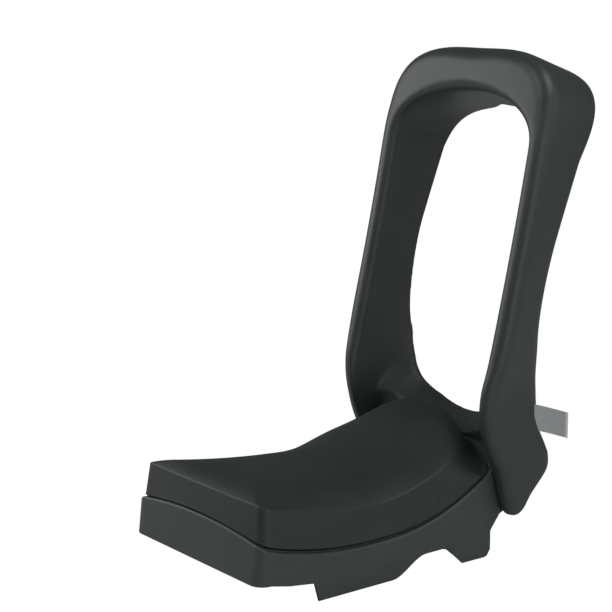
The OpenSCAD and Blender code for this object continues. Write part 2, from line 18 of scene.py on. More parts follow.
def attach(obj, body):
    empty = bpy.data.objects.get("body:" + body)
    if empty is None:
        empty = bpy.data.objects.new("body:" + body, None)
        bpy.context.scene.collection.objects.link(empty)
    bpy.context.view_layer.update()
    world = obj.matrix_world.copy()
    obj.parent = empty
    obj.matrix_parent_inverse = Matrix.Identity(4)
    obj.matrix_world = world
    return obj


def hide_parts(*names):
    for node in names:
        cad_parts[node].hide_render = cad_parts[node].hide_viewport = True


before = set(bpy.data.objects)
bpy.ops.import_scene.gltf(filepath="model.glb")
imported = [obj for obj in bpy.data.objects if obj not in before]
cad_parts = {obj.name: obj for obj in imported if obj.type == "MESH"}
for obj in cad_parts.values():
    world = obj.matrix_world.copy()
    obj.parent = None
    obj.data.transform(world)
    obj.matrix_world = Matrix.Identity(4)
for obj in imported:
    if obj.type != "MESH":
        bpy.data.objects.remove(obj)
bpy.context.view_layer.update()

Pair = tuple[float, float]
Triple = tuple[float, float, float]
Ring = list[Vector]
Height = Callable[[float, float], float]

LOG = logging.getLogger("seat")
MM = 0.001
MERGE = 1e-6
BODY = "root"
WHITE = (1.0, 1.0, 1.0, 1.0)


# Shading tools
class Value:
    """A shader socket on which sums, differences and products add their Math nodes."""

    def __init__(self, graph: "Graph", socket: NodeSocket) -> None:
        """Wraps a socket of a graph."""
        self.graph = graph
        self.socket = socket

    def _math(self, operation: str, first: object, second: object) -> "Value":
        """Adds one Math node on two values or numbers and returns its result."""
        return self.graph.add("ShaderNodeMath", {0: first, 1: second}, operation=operation)

    def __add__(self, other: object) -> "Value":
        """Sum."""
        return self._math("ADD", self, other)

    __radd__ = __add__

    def __sub__(self, other: object) -> "Value":
        """Difference."""
        return self._math("SUBTRACT", self, other)

    def __rsub__(self, other: object) -> "Value":
        """Difference with this value taken away."""
        return self._math("SUBTRACT", other, self)

    def __mul__(self, other: object) -> "Value":
        """Product."""
        return self._math("MULTIPLY", self, other)

    def above(self, limit: float, width: float) -> "Value":
        """Soft step from 0 to 1 over a width around a limit."""
        sockets = {"Value": self, "From Min": limit - width / 2, "From Max": limit + width / 2}
        return self.graph.add("ShaderNodeMapRange", sockets, interpolation_type="SMOOTHSTEP")


class Graph:
    """The node tree of a material or a world."""

    def __init__(self, owner: Material | bpy.types.World) -> None:
        """Starts an empty tree."""
        self.owner = owner
        owner.use_nodes = True
        self.tree = owner.node_tree
        self.tree.nodes.clear()

    def node(self, kind: str, sockets: dict | None = None, **settings: object) -> Node:
        """Adds a node of any type.

        Args:
            kind: the node's type name.
            sockets: values or links by socket name or number.
            settings: properties, set first.

        Returns:
            The new node.
        """
        made = self.tree.nodes.new(kind)
        for key, value in settings.items():
            setattr(made, key, value)
        for key, value in (sockets or {}).items():
            if isinstance(key, int):
                target = made.inputs[key]
            else:
                target = next(s for s in made.inputs if s.enabled and s.name == key)
            if isinstance(value, Value):
                self.tree.links.new(value.socket, target)
            elif isinstance(value, NodeSocket):
                self.tree.links.new(value, target)
            else:
                target.default_value = value
        return made

    def add(self, kind: str, sockets: dict, **settings: object) -> Value:
        """Adds a node and returns its first output as a Value."""
        made = self.node(kind, sockets, **settings)
        return Value(self, next(s for s in made.outputs if s.enabled))

    def place(self) -> Value:
        """Object coordinates, in metres in the part's frame."""
        return Value(self, self.node("ShaderNodeTexCoord").outputs["Object"])

    def parts(self, place: Value) -> tuple[Value, ...]:
        """The three coordinates of a place."""
        made = self.node("ShaderNodeSeparateXYZ", {0: place})
        return tuple(Value(self, made.outputs[axis]) for axis in "XYZ")

    def noise(self, scale: float, detail: float, rough: float, at: Value) -> Value:
        """Noise from 0 to 1 with a scale per metre."""
        sockets = {"Vector": at, "Scale": scale, "Detail": detail, "Roughness": rough}
        return self.add("ShaderNodeTexNoise", sockets, noise_dimensions="3D")

    def blend(self, factor: Value | float, first: object, second: object) -> Value:
        """Mixes two colours."""
        sockets = {"Factor": factor, "A": first, "B": second}
        return self.add("ShaderNodeMix", sockets, data_type="RGBA")

    def bump(self, height: Value, depth: float) -> Value:
        """Adds a Bump node with its depth in metres."""
        return self.add("ShaderNodeBump", {"Height": height, "Distance": depth, "Strength": 1.0})

    def shades(self, factor: Value, colour: Triple, low: float, high: float) -> Value:
        """Blends a colour from a low to a high lift."""
        return self.blend(factor, tone(colour, low), tone(colour, high))

    def seen(self, near: Node, far: Node, share: float = 1.0) -> Node:
        """Mixes two shaders: the far one shows to the camera, by a share, and the near one lights."""
        path = self.node("ShaderNodeLightPath")
        factor = Value(self, path.outputs["Is Camera Ray"]) * share
        sockets = {0: factor, 1: near.outputs[0], 2: far.outputs[0]}
        return self.node("ShaderNodeMixShader", sockets)

    def end(self, shader: Node, kind: str = "ShaderNodeOutputMaterial") -> Material:
        """Ends the tree in a shader and returns its owner."""
        self.node(kind, {0: shader.outputs[0]})
        return self.owner

    def surface(self, colour: Value, rough: Value | float, normal: Value, more: dict) -> Material:
        """Ends the tree in a Principled shader and returns the finished material."""
        sockets = {"Base Color": colour, "Roughness": rough, "Normal": normal}
        return self.end(self.node("ShaderNodeBsdfPrincipled", sockets | more))


def tone(colour: Triple, lift: float) -> tuple[float, ...]:
    """A linear colour with alpha, scaled by lift."""
    return (*(channel * lift for channel in colour), 1.0)


@dataclass(frozen=True)
class MouldedSkin:
    """Finely matt moulded plastic or integral-skin foam, with a line of painted groove shade where one is
    given.
    """

    name: str
    colour: Triple
    roughness: float = 0.5
    grain: float = 1500.0
    grain_depth: float = 0.00005
    scales: Triple = (0.23, 22.0, 150.0)
    cloud: float = 0.10
    rub: float = 0.12
    rub_step: Pair = (0.66, 0.14)
    rub_lift: float = 1.7
    sway: Pair = (0.10, 0.12)
    specular: float = 0.5
    # Painted shade: a darker line that stands in for the shadow in a small groove, which is not modelled.
    groove_shade_line: tuple[float, ...] = ()
    groove_shade_share: float = 0.6
    groove_shade_lift: float = 0.2

    def groove_shade_mask(self, graph: Graph, place: Value) -> Value:
        """Marks the thin upright line of painted groove shade on both sides of the piece.

        Args:
            graph: the material's tree.
            place: Object coordinates.

        Returns:
            1 on the line and 0 elsewhere.
        """
        x, y, z = (part * (1 / MM) for part in graph.parts(place))
        reach, top_y, top_z, foot_y, foot_z, half = self.groove_shade_line
        soft = 1.0
        slope = (foot_y - top_y) / (top_z - foot_z)
        off = y + z * slope - (top_y + top_z * slope)
        beside = (off * off).above(half * half, half * half)
        upright = (1.0 - z.above(top_z, soft)) * z.above(foot_z, soft)
        return (1.0 - beside) * upright * (x * x).above(reach * reach, 100.0)

    def make(self) -> Material:
        """Builds the node tree."""
        graph = Graph(bpy.data.materials.new(self.name))
        place = graph.place()
        fine = graph.noise(self.grain, 2.0, 0.6, place)
        coarse = graph.noise(self.grain * self.scales[0], 2.0, 0.5, place)
        broad = graph.noise(self.scales[1], 4.0, 0.55, place)
        patch = graph.noise(self.scales[2], 3.0, 0.6, place)
        base = graph.shades(broad.above(0.5, 0.5), self.colour, 1 - self.cloud, 1 + self.cloud)
        worn = patch.above(*self.rub_step) * self.rub
        wear_and_groove_shade = graph.blend(worn, base, tone(self.colour, self.rub_lift))
        # Painted shade: darkens a thin line where the shadow of an unmodelled groove would fall.
        if self.groove_shade_line:
            share = self.groove_shade_mask(graph, place) * self.groove_shade_share
            wear_and_groove_shade = graph.blend(share, wear_and_groove_shade, tone(self.colour, self.groove_shade_lift))
        skin = fine * 0.6 + coarse * 0.4
        rough = self.roughness + (broad - 0.5) * self.sway[0] + (fine - 0.5) * self.sway[1]
        normal = graph.bump(skin, self.grain_depth)
        return graph.surface(wear_and_groove_shade, rough, normal, {"Specular IOR Level": self.specular})


@dataclass(frozen=True)
class WovenRibbon:
    """Plain-woven ribbon with a ribbed weft."""

    name: str
    colour: Triple
    pitch: float = 0.0007
    lifts: Pair = (0.72, 1.12)
    roughness: float = 0.85
    sheen: float = 0.3
    depth: float = 0.00012

    def make(self) -> Material:
        """Builds the node tree."""
        graph = Graph(bpy.data.materials.new(self.name))
        place = graph.place()
        turn = 2 * pi / self.pitch
        warp, weft = (
            graph.add("ShaderNodeMath", {0: part * turn}, operation="SINE")
            for part in graph.parts(place)[1:]
        )
        weave = (warp * weft) * 0.5 + 0.5
        fuzz = graph.noise(900.0, 3.0, 0.7, place)
        thread = weave * 0.7 + fuzz * 0.3
        base = graph.shades(thread, self.colour, *self.lifts)
        normal = graph.bump(thread, self.depth)
        return graph.surface(base, self.roughness, normal, {"Sheen Weight": self.sheen})


@dataclass(frozen=True)
class PlatedMetal:
    """Plated, turned or coated metal with fine lines and light wear."""

    name: str
    colour: Triple
    roughness: float
    metallic: float = 1.0
    line: float = 2200.0
    lifts: Pair = (0.8, 1.1)
    sway: Pair = (0.25, 0.1)
    depth: float = 0.00002

    def make(self) -> Material:
        """Builds the node tree."""
        graph = Graph(bpy.data.materials.new(self.name))
        place = graph.place()
        stretch = graph.add("ShaderNodeMapping", {"Vector": place, "Scale": (1.0, 1.0, 6.0)})
        lines = graph.noise(self.line, 2.0, 0.5, stretch)
        stain = graph.noise(160.0, 4.0, 0.6, place)
        base = graph.shades(stain, self.colour, *self.lifts)
        rough = self.roughness + (stain - 0.5) * self.sway[0] + (lines - 0.5) * self.sway[1]
        normal = graph.bump(lines, self.depth)
        return graph.surface(base, rough, normal, {"Metallic": self.metallic})


# Modelling tools
def ring_edges(bm: BMesh, ring: list[BMVert]) -> list[BMEdge]:
    """Edges of a closed ring of vertices, in order."""
    return [bm.edges.get(pair) for pair in zip(ring, ring[1:] + ring[:1])]


def add_loft(target: BMesh, rings: Sequence[Ring], capped: bool = True) -> None:
    """Grows a skin ring by ring: a circle of vertices, extruded from place to place.

    Args:
        target: mesh that takes the skin.
        rings: the places, in millimetres, all with the same number of points.
        capped: whether a face closes each end.
    """
    bm = bmesh.new()
    ring = list(bmesh.ops.create_circle(bm, segments=len(rings[0]), radius=1.0)["verts"])
    for step, points in enumerate(rings):
        if step:
            made = bmesh.ops.extrude_edge_only(bm, edges=ring_edges(bm, ring))
            fresh = {g for g in made["geom"] if isinstance(g, BMVert)}
            ring = [next(e.other_vert(v) for e in v.link_edges if e.other_vert(v) in fresh) for v in ring]
        for vert, point in zip(ring, points):
            vert.co = point * MM
        if capped and step in (0, len(rings) - 1):
            bmesh.ops.contextual_create(bm, geom=ring_edges(bm, ring))
    pour(bm, target)


def pour(source: BMesh, target: BMesh) -> None:
    """Adds one bmesh to another, with its poles merged, and frees it."""
    bmesh.ops.remove_doubles(source, verts=source.verts[:], dist=MERGE)
    bmesh.ops.recalc_face_normals(source, faces=source.faces[:])
    carrier = bpy.data.meshes.new("carrier")
    source.to_mesh(carrier)
    source.free()
    target.from_mesh(carrier)
    bpy.data.meshes.remove(carrier)


def clamp01(value: float) -> float:
    """Limits a number to 0..1."""
    return min(1.0, max(0.0, value))


def mix(first: float | Vector, second: float | Vector, share: float) -> float | Vector:
    """Straight blend of two numbers or points."""
    return first + (second - first) * share


def ease(share: float) -> float:
    """Smooth step from 0 to 1."""
    return share * share * (3 - 2 * share)


def rise(at: float, start: float, run: float) -> float:
    """Smooth step up that begins at a start and takes a run."""
    return ease(clamp01((at - start) / run))


def fall(at: float, end: float, run: float) -> float:
    """Smooth step down that takes a run and is over at an end."""
    return ease(clamp01((end - at) / run))


def along_line(points: Sequence[Pair], at: float) -> float:
    """Height of a broken line over a place; the line's places rise."""
    if at <= points[0][0]:
        return points[0][1]
    for (y0, z0), (y1, z1) in zip(points, points[1:]):
        if at <= y1:
            return mix(z0, z1, (at - y0) / (y1 - y0)) if y1 > y0 else z1
    return points[-1][1]


def linked(name: str, data: bpy.types.ID) -> Object:
    """Makes an object of a mesh, lamp or camera and puts it in the scene."""
    made = bpy.data.objects.new(name, data)
    bpy.context.scene.collection.objects.link(made)
    return made


def as_piece(bm: BMesh, name: str, crease: float = 40.0) -> Object:
    """Turns a bmesh into a shaded object.

    Args:
        bm: the finished mesh; it is freed.
        name: the piece's name.
        crease: edges sharper than this many degrees stay sharp.

    Returns:
        The linked object, at the origin.
    """
    bmesh.ops.remove_doubles(bm, verts=bm.verts[:], dist=MERGE)
    bmesh.ops.recalc_face_normals(bm, faces=bm.faces[:])
    for face in bm.faces:
        face.smooth = True
    for edge in bm.edges:
        edge.smooth = not edge.is_manifold or edge.calc_face_angle(0.0) < radians(crease)
    mesh = bpy.data.meshes.new(name)
    bm.to_mesh(mesh)
    bm.free()
    return linked(name, mesh)


def flatten(piece: Object) -> None:
    """Applies a piece's modifiers to its mesh."""
    graph = bpy.context.evaluated_depsgraph_get()
    graph.update()
    made = bpy.data.meshes.new_from_object(piece.evaluated_get(graph), depsgraph=graph)
    old = piece.data
    piece.modifiers.clear()
    piece.data = made
    made.name = piece.name
    bpy.data.meshes.remove(old)


def settle(piece: Object, material: Material, slot: str, *nodes: str) -> None:
    """Gives a piece its finish, body and CAD nodes.

    Args:
        piece: the object.
        material: its finish.
        slot: the record's material slot.
        nodes: CAD nodes that it stands for.
    """
    piece.data.materials.clear()
    piece.data.materials.append(material)
    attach(piece, BODY)
    if nodes:
        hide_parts(*nodes)
    LOG.info("%s: %d faces, slot %s", piece.name, len(piece.data.polygons), slot)


@dataclass(frozen=True)
class Column:
    """One place on a plan outline with its outward direction."""

    x: float
    y: float
    nx: float
    ny: float


# Base
@dataclass(frozen=True)
class Valley:
    """Height along the seat: lowest at one place, with a rise, its place and its power each way."""

    low: float
    at: float
    front: Triple
    rear: Triple
    eased: bool = True

    def height(self, y: float) -> float:
        """Height over a place."""
        amount, end, power = self.front if y < self.at else self.rear
        share = (y - self.at) / (end - self.at)
        if self.eased and y >= self.at:
            share = ease(clamp01(share))
        return self.low + amount * share**power


@dataclass
class SeamSurface:
    """The surface on which cushion and base meet, with its crowned front."""

    line: Valley = Valley(41.5, 2.0, (20.0, -124.0, 2.0), (62.0, 174.0, 2.5), eased=False)
    front: float = -124.0
    crown: float = 8.0
    chord: float = 102.0
    crown_run: float = 40.0

    def height(self, x: float, y: float) -> float:
        """Height of the seam over a place."""
        fade = ease(clamp01(1 - (y - self.front) / self.crown_run))
        return self.line.height(y) + self.crown * max(0.0, 1 - (x / self.chord) ** 2) * fade


@dataclass
class BaseShell:
    """Hollow moulded base with rounded rim, leaning front wall, skirts, lugs and ribs."""

    seam: SeamSurface
    half: float = 95.0
    front: float = 129.0
    rear: float = 174.0
    flare: float = 7.0
    flare_end: float = 120.0
    front_corner: float = 12.0
    rear_corner: float = 6.0
    wall: float = 3.0
    deck: float = 3.5
    rim_drop: float = 1.6
    shoulder: float = 3.2
    edge: float = 0.8
    lean_foot: float = 26.5
    lean_run: float = 0.1429
    rib_foot: float = 19.0
    rib: float = 2.4
    rib_lines: tuple[float, ...] = (52.0, 64.0)
    rib_rows: tuple[float, ...] = (-80.0, -40.0, 10.0, 55.0, 101.0, 154.0)
    wells: tuple[Pair, ...] = ((34.0, -15.0), (34.0, 132.0))
    well_radii: Pair = (13.6, 11.0)
    well_floor: float = 2.5
    well_edge: float = 0.5
    bolt_bore: float = 3.25
    lug_splay: float = 5.0
    lug_start: Pair = (96.0, 12.0)
    lug_end: Pair = (154.0, 8.0)
    fold: Pair = (19.0, 25.0)
    fold_run: Pair = (110.0, 40.0)
    landing: Pair = (5.6, 0.3)
    ledge: Pair = (5.1, 0.6)
    gutter: Pair = (5.0, 4.2)
    skirt: tuple[Pair, ...] = (
        (-129.0, 26.5), (-113.6, 25.6), (-93.8, 21.3), (-65.0, 17.5), (-60.0, 0.0), (27.0, 0.0),
        (32.1, 0.7), (37.3, 2.7), (42.4, 5.4), (47.5, 8.5), (52.6, 11.6), (57.8, 14.3),
        (62.9, 16.3), (68.0, 17.0), (90.0, 17.0), (95.0, 15.5), (102.5, 8.8), (111.0, 0.0),
        (138.5, 0.0), (142.5, 1.0), (147.5, 6.0), (150.5, 23.0), (162.5, 38.0), (174.0, 43.0),
    )

    def columns(self) -> list[Column]:
        """Plan outline, from the front middle round the right side and back."""
        reach = self.half + self.flare - self.front_corner
        right = [Column(reach * i / 9, -self.front, 0.0, -1.0) for i in range(9)]
        for i in range(11):
            a = radians(-90 + 9 * i)
            c, s = cos(a), sin(a)
            y = self.front_corner * (1 + s) - self.front
            right.append(Column(reach + self.front_corner * c, y, c, s))
        start = right[-1].y
        last = self.rear - self.rear_corner
        stops = {y for y, _ in self.skirt if start + 1 < y < last}
        grid = [start + (last - start) * i / 46 for i in range(1, 47)]
        stops |= {y for y in grid if all(abs(y - s) > 1.5 for s in stops)}
        for y in sorted(stops | {last}):
            spread = self.flare * clamp01((self.flare_end - y) / (self.flare_end - start))
            right.append(Column(self.half + spread, y, 1.0, 0.0))
        hub = self.half - self.rear_corner
        for i in range(1, 6):
            a = radians(18 * i)
            c, s = cos(a), sin(a)
            right.append(Column(hub + self.rear_corner * c, last + self.rear_corner * s, c, s))
        right += [Column(hub * (1 - i / 8), self.rear, 0.0, 1.0) for i in range(1, 9)]
        return right + [Column(-c.x, c.y, -c.nx, c.ny) for c in right[-2:0:-1]]

    def ring(self, inset: float, height: Height, spread: float = 1.0) -> Ring:
        """One ring of the loft.

        Args:
            inset: distance inside the outline.
            height: height of the ring over a place.
            spread: share of the width that the ring keeps.

        Returns:
            The ring's points.
        """
        points = []
        for column in self.columns():
            x = (column.x - column.nx * inset) * spread
            y = column.y - column.ny * inset
            z = height(x, y)
            y += max(0.0, -column.ny) * max(0.0, z - self.lean_foot) * self.lean_run
            if inset < self.wall + 0.1:
                x += copysign(self.splay(y, z), x) * abs(column.nx)
            points.append(Vector((x, y, z)))
        return points

    def splay(self, y: float, z: float) -> float:
        """How far a lug turns outward below its fold."""
        along = rise(y, *self.lug_start) * fall(y, *self.lug_end)
        start, run = self.fold_run
        fold = mix(*self.fold, clamp01((y - start) / run))
        return self.lug_splay * along * clamp01((fold - z) / fold)

    def foot(self, _x: float, y: float) -> float:
        """Height of the lower edge over a place."""
        return along_line(self.skirt, y)

    def skin(self) -> list[Ring]:
        """Rings of the shell: landing, rim, outer wall, lower edge, inner wall and deck."""
        top, drop = self.seam.height, self.rim_drop
        brim = drop + self.shoulder
        under = drop + self.deck

        def below(amount: float) -> Height:
            """Heights a distance below the seam surface."""
            return lambda x, y: top(x, y) - amount

        def between(upper: float, lower: float, share: float) -> Height:
            """Heights a share of the way down the wall."""
            return lambda x, y: mix(top(x, y) - upper, self.foot(x, y) + lower, share)

        quarters = (0.0, 0.25, 0.5, 0.75, 1.0)
        rings = [self.ring(self.landing[0], below(self.landing[1]), f) for f in quarters]
        rings.append(self.ring(self.ledge[0], below(self.ledge[1])))
        rings += [self.ring(inset, below(drop)) for inset in self.gutter]
        for i in range(6):
            a = radians(18 * i)
            sunk = drop + self.shoulder * (1 - cos(a))
            rings.append(self.ring(self.shoulder * (1 - sin(a)), below(sunk)))
        down = (0.15, 0.35, 0.55, 0.75, 0.9, 1.0)
        rings += [self.ring(0.0, between(brim, self.edge, t)) for t in down]
        round_off = self.edge * (1 - sqrt(0.5))
        rings += [
            self.ring(round_off, lambda x, y: self.foot(x, y) + round_off),
            self.ring(self.edge, self.foot),
            self.ring(self.wall - self.edge, self.foot),
            self.ring(self.wall - round_off, lambda x, y: self.foot(x, y) + round_off),
        ]
        up = quarters[::-1]
        rings += [self.ring(self.wall, between(under + 2, self.edge, t)) for t in up]
        return rings + [self.ring(self.wall + 2, below(under), f) for f in up]

    def rib_ring(self, x: float, y: float, dx: float, dy: float, low: float) -> Ring:
        """Four corners of a rib's section, from a low edge up into the deck."""
        high = self.seam.height(x, y) - (self.rim_drop + self.deck - 1)
        sides = ((-1, low), (1, low), (1, high), (-1, high))
        return [Vector((x + side * dx, y + side * dy, z)) for side, z in sides]

    def add_ribs(self, bm: BMesh) -> None:
        """Adds the stiffening ribs below the deck, along and across."""
        half = self.rib / 2
        first, last = -self.front + self.wall + 3, self.rear - self.wall + 1
        places = [mix(first, last, i / 40) for i in range(41)]
        for x in [side * line for side in (-1, 1) for line in self.rib_lines]:
            lows = [max(self.rib_foot, self.foot(x, y)) for y in places]
            add_loft(bm, [self.rib_ring(x, y, half, 0.0, low) for y, low in zip(places, lows)])
        reach = self.half - self.wall + 1
        places = [mix(-reach, reach, i / 12) for i in range(13)]
        for y in self.rib_rows:
            low = max(self.rib_foot, self.foot(0, y))
            add_loft(bm, [self.rib_ring(x, y, 0.0, -half, low) for x in places])

    def add_wells(self, bm: BMesh) -> None:
        """Adds the tubes that hold the clamp nuts."""
        (outer, inner), bore, edge = self.well_radii, self.bolt_bore, self.well_edge
        for x, y in [(side * px, py) for side in (-1, 1) for px, py in self.wells]:
            top = self.seam.height(x, y) - self.rim_drop - self.deck + 1
            foot, floor = self.rib_foot, self.rib_foot + self.well_floor
            profile = [
                (bore, foot), (outer - edge, foot), (outer, foot + edge),
                (outer, top), (inner, top), (inner, floor), (bore, floor),
            ]
            turn_profile(bm, profile, (x, y, 0.0), 48)

    def build(self) -> Object:
        """Makes the shell with ribs and wells."""
        bm = bmesh.new()
        add_loft(bm, self.skin(), capped=False)
        self.add_ribs(bm)
        self.add_wells(bm)
        return as_piece(bm, "base_skin", 38.0)

    def dress(self, piece: Object) -> None:
        """Gives the shell its finish."""
        finish = MouldedSkin("moulded_shell", (0.043, 0.053, 0.050), roughness=0.46)
        settle(piece, finish.make(), "moulded_shell", "base_shell")


def turn_profile(bm: BMesh, profile: Sequence[Pair], hub: Triple, steps: int) -> None:
    """Spins a closed profile of radius and height about +Z.

    Args:
        bm: mesh that takes the solid.
        profile: radius and height of each corner, in millimetres.
        hub: the axis' foot.
        steps: number of steps round.
    """
    part = bmesh.new()
    axis = Vector(hub) * MM
    corners = bmesh.ops.create_circle(part, segments=len(profile), radius=1.0)["verts"]
    for vert, (radius, height) in zip(corners, profile):
        vert.co = axis + Vector((radius, 0.0, height)) * MM
    bmesh.ops.spin(
        part, geom=part.edges[:] + part.verts[:], cent=axis, axis=(0, 0, 1),
        angle=2 * pi, steps=steps, use_merge=True,
    )
    pour(part, bm)


# Cushion
@dataclass
class Cushion:
    """Dished foam cushion with an upright side band and a crisp crease."""

    seam: SeamSurface
    half: float = 93.0
    front: float = -122.0
    rear: float = 170.0
    lean: float = 4.0
    corner: float = 10.5
    crease_corner: float = 9.0
    turns: Pair = (30.0, 100.0)
    rear_power: float = 2.2
    bow: float = 1.5
    flare: float = 7.0 / 95.0
    flare_end: float = 120.0
    flare_run: float = 249.0
    crease: Valley = Valley(74.0, 4.0, (21.0, -118.0, 1.5), (31.5, 154.0, 1.2))
    middle: Valley = Valley(96.0, 10.0, (6.0, -80.0, 1.5), (39.4, 158.0, 1.3))
    spine: Pair = (-80.0, 139.5)
    dish: Triple = (3.5, 1.8, 3.8)
    dish_run: float = 85.0
    pillow: Pair = (103.0, 55.0)
    lift: float = 1.3
    tuck: float = 3.0
    crease_sink: float = 0.35

    def outline(self, half: float, front: float, corner: float, rear: float, back: float) -> list[Pair]:
        """Plan outline of one level.

        Args:
            half: half of the width.
            front: place of the front edge.
            corner: radius of the front corners.
            rear: place of the rear edge.
            back: length of the rounded rear end.

        Returns:
            Places from the front middle round the right side and back.
        """
        hub, turn = half - corner, rear - back
        right = [(hub * i / 10, front - self.bow * (1 - (i / 10) ** 2)) for i in range(10)]
        for i in range(9):
            a = radians(-90 + 10 * i)
            right.append((hub + corner * cos(a), front + corner + corner * sin(a)))
        right += [(half, mix(front + corner, turn, i / 34)) for i in range(34)]
        power = 2 / self.rear_power
        for i in range(33):
            a = radians(90 * i / 32)
            c, s = max(0.0, cos(a)), sin(a)
            right.append((half * c**power if i < 32 else 0.0, turn + back * s**power))
        spread = [self.flare * clamp01((self.flare_end - y) / self.flare_run) for _, y in right]
        wide = [(x * (1 + more), y) for (x, y), more in zip(right, spread)]
        return wide + [(-x, y) for x, y in wide[-2:0:-1]]

    def band(self, share: float) -> list[Pair]:
        """Outline of the side band at a share of its height."""
        return self.outline(
            self.half - self.lean * share,
            self.front + self.lean * share,
            mix(self.corner, self.crease_corner, share),
            self.rear - self.lean / 2 * share,
            mix(*self.turns, share),
        )

    def side(self, share: float, inward: float = 0.0, raised: float = 0.0) -> Ring:
        """Ring on the side band.

        Args:
            share: share of the band's height.
            inward: extra distance towards the middle.
            raised: extra height.

        Returns:
            The ring's points.
        """
        points = []
        for x, y in self.band(share):
            place = Vector((x, y, mix(self.seam.height(x, y), self.crease.height(y), share) + raised))
            pull = Vector((x, y - min(self.spine[1], max(self.spine[0], y)), 0.0))
            points.append(place - pull.normalized() * inward if pull.length else place)
        return points

    def crown(self, reach: float, sink: float = 0.0) -> Ring:
        """Ring on the top: reach is 1 at the crease and 0 on the middle line."""
        points = []
        for x, y in self.band(1.0):
            line = min(self.spine[1], max(self.spine[0], y))
            y = mix(line, y, reach)
            power = mix(self.dish[0], self.dish[1], clamp01(y / self.dish_run))
            power = mix(power, self.dish[2], rise(y, *self.pillow))
            z = mix(self.middle.height(y), self.crease.height(y), reach**power) - sink
            points.append(Vector((x * reach, y, z)))
        return points

    def underside(self, spread: float, inward: float) -> Ring:
        """Ring on the seam surface."""
        places = [(point.x * spread, point.y) for point in self.side(0.0, inward)]
        return [Vector((x, y, self.seam.height(x, y))) for x, y in places]

    def build(self) -> Object:
        """Lofts the cushion from its underside over the crease to the middle line."""
        rings = [self.underside(f, self.tuck) for f in (0.0, 0.5, 1.0)]
        rings += [self.side(0.0, 2.0, self.lift), self.side(0.0, 0.8, self.lift)]
        rings += [self.side(0.0, 0.15, self.lift + 0.4), self.side(0.02, 0.0, self.lift + 0.6)]
        rings += [self.side(t) for t in (0.1, 0.2, 0.35, 0.5, 0.65, 0.8, 0.9)]
        rings += [self.side(0.95), self.side(0.985, 0.05), self.crown(1.0, self.crease_sink)]
        inward = (0.988, 0.97, 0.94, 0.9, 0.84, 0.76, 0.66, 0.54, 0.4, 0.26, 0.12, 0.0)
        rings += [self.crown(reach) for reach in inward]
        bm = bmesh.new()
        add_loft(bm, rings, capped=False)
        piece = as_piece(bm, "foam_cushion", 70.0)
        soft = piece.modifiers.new("round", "SUBSURF")
        soft.levels = soft.render_levels = 1
        flatten(piece)
        return piece

    def dress(self, piece: Object) -> None:
        """Gives the cushion its finish."""
        finish = MouldedSkin(
            "foam_cushion",
            (0.022, 0.0285, 0.0265),
            roughness=0.52,
            grain=1100.0,
            grain_depth=0.00008,
            # Painted shade: a thin dark line on each side band stands in for the shadow in a small
            # groove.
            groove_shade_line=(80.0, 84.7, 80.4, 86.7, 58.9, 0.7),
        )
        settle(piece, finish.make(), "foam_cushion", "cushion")


